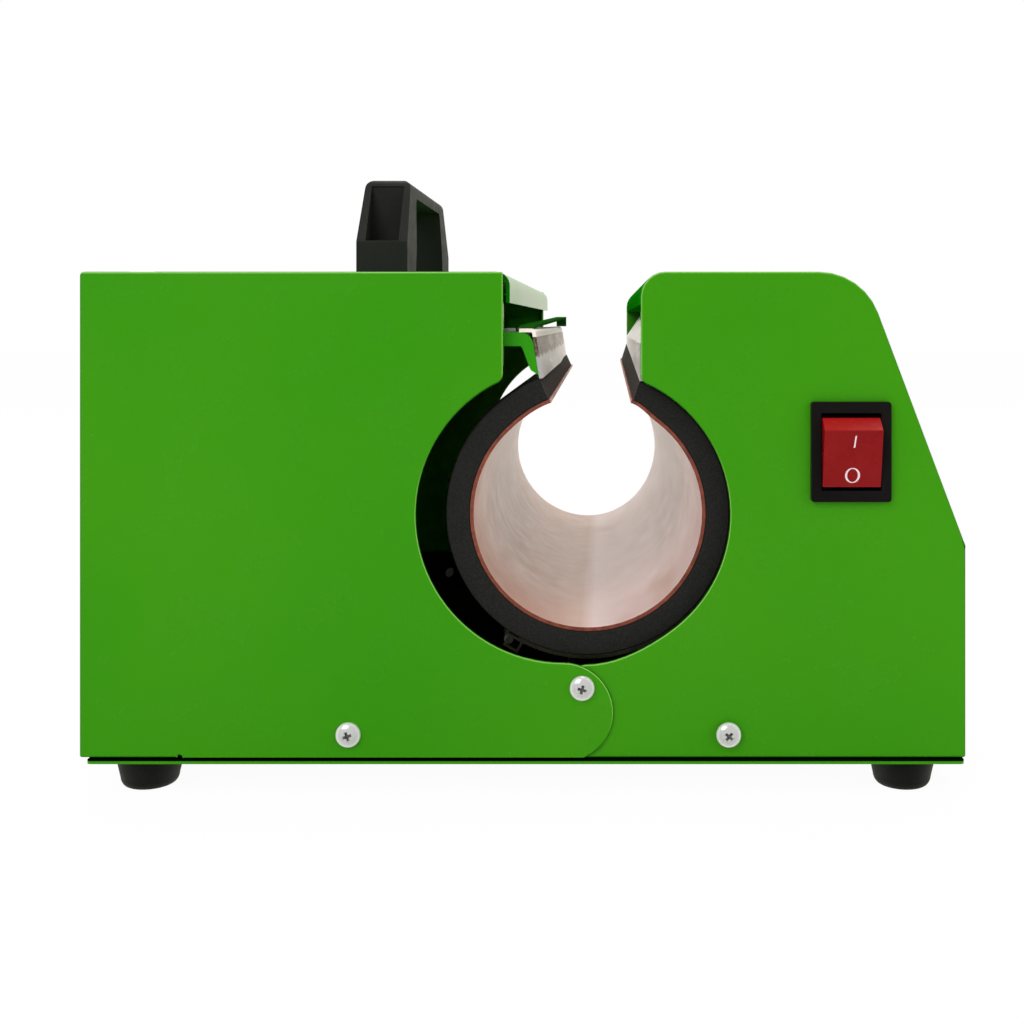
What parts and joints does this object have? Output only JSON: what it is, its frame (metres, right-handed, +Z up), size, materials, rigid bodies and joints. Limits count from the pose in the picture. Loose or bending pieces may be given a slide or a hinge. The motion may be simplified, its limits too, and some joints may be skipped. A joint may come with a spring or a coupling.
{
  "type": "tumbler heat press",
  "caption": "Heat press for straight tumblers: a C-shaped heating wrap between two sheet-metal housings, with a handled lid that swings up and opens the wrap's jaw.",
  "frame": {"origin": "centre of the whole part's footprint, on the plane the feet stand on", "axes": "+Z up, +X from the lever housing to the console, +Y from the switch side to the inlet side, along the wrap's axis"},
  "size_m": [0.284, 0.2738, 0.2078],
  "materials": {
    "green_paint": "satin powder coat",
    "jaw_paint": "gloss paint",
    "zinc_steel": "zinc plated",
    "bare_steel": "brushed, lightly marked",
    "chrome": "polished",
    "bronze": "sintered bronze",
    "black_plastic": "fine texture",
    "black_gloss": "smooth",
    "red_plastic": "smooth, slightly translucent",
    "button_plastic": "satin",
    "lens": "dark, clear",
    "foot_rubber": "matt",
    "foam": "speckled closed-cell foam",
    "heater": "silicone sheet with copper-brown edge",
    "board": "circuit board",
    "core_steel": "varnished laminations",
    "white_plastic": "satin"
  },
  "bodies": {
    "housing": {"base_tray": "green_paint", "rubber_feet": "foot_rubber", "foot_screws": "zinc_steel", "rear_side_near": "green_paint", "rear_side_far": "green_paint", "rear_end_panel": "green_paint", "console_side_near": "green_paint", "console_side_far": "green_paint", "console_wrapper": "green_paint", "console_inner_wall": "green_paint", "housing_screws": "chrome", "frame_plates": "zinc_steel", "lever_shaft": "zinc_steel", "shaft_bushes": "bronze", "shaft_collars": "zinc_steel", "wrap_cradle": "bare_steel", "cradle_brackets": "zinc_steel", "cradle_spacers": "zinc_steel", "wrap_hinge_pin": "bare_steel", "wrap_foam_fixed": "foam", "wrap_heater_fixed": "heater", "fixed_clamp_bracket": "jaw_paint", "fixed_clamp_plate": "bare_steel", "controller_bezel": "black_plastic", "display_lens": "lens", "control_board": "board", "board_standoffs": "zinc_steel", "power_relay": "black_gloss", "transformer": "core_steel", "terminal_block": "white_plastic", "power_inlet": "black_gloss", "fuse_drawer": "black_gloss", "switch_bezel": "black_gloss"},
    "lever": {"lever_cover": "green_paint", "lever_cams": "zinc_steel", "lever_handle": "black_plastic", "handle_screws": "zinc_steel"},
    "jaw": {"jaw_arms": "jaw_paint", "jaw_cross_plate": "jaw_paint", "jaw_clamp_plate": "bare_steel", "jaw_blade": "jaw_paint", "jaw_screws": "zinc_steel", "jaw_cam_pins": "zinc_steel", "wrap_foam_moving": "foam", "wrap_heater_moving": "heater", "wrap_band_moving": "bare_steel"},
    "rocker": {"switch_rocker": "red_plastic"},
    "button_mode_cap": {"button_mode": "button_plastic"},
    "button_down_cap": {"button_down": "button_plastic"},
    "button_up_cap": {"button_up": "button_plastic"},
    "button_start_cap": {"button_start": "button_plastic"}
  },
  "joints": [
    {"name": "lever_hinge", "type": "hinge", "parent": "housing", "child": "lever", "pos_m": [-0.118, 0, 0.1608], "axis": [0, -1, 0], "range_deg": [0, 40]},
    {"name": "jaw_swing", "type": "hinge", "parent": "housing", "child": "jaw", "pos_m": [-0.00526, 0, 0.04911], "axis": [0, -1, 0], "range_deg": [0, 7]},
    {"name": "rocker_tilt", "type": "hinge", "parent": "housing", "child": "rocker", "pos_m": [0.1049, -0.1288, 0.1111], "axis": [-1, 0, 0], "range_deg": [0, 18]},
    {"name": "button_mode_press", "type": "slide", "parent": "housing", "child": "button_mode_cap", "axis": [-0.9362, 0, -0.3515], "range_m": [0, 0.0008], "stiffness_N_per_m": 400, "springref_m": -0.0005},
    {"name": "button_down_press", "type": "slide", "parent": "housing", "child": "button_down_cap", "axis": [-0.9362, 0, -0.3515], "range_m": [0, 0.0008], "stiffness_N_per_m": 400, "springref_m": -0.0005},
    {"name": "button_up_press", "type": "slide", "parent": "housing", "child": "button_up_cap", "axis": [-0.9362, 0, -0.3515], "range_m": [0, 0.0008], "stiffness_N_per_m": 400, "springref_m": -0.0005},
    {"name": "button_start_press", "type": "slide", "parent": "housing", "child": "button_start_cap", "axis": [-0.9362, 0, -0.3515], "range_m": [0, 0.0008], "stiffness_N_per_m": 400, "springref_m": -0.0005}
  ],
  "couplings": [
    {"joint": "jaw_swing", "follows": "lever_hinge", "ratio": 0.175}
  ]
}
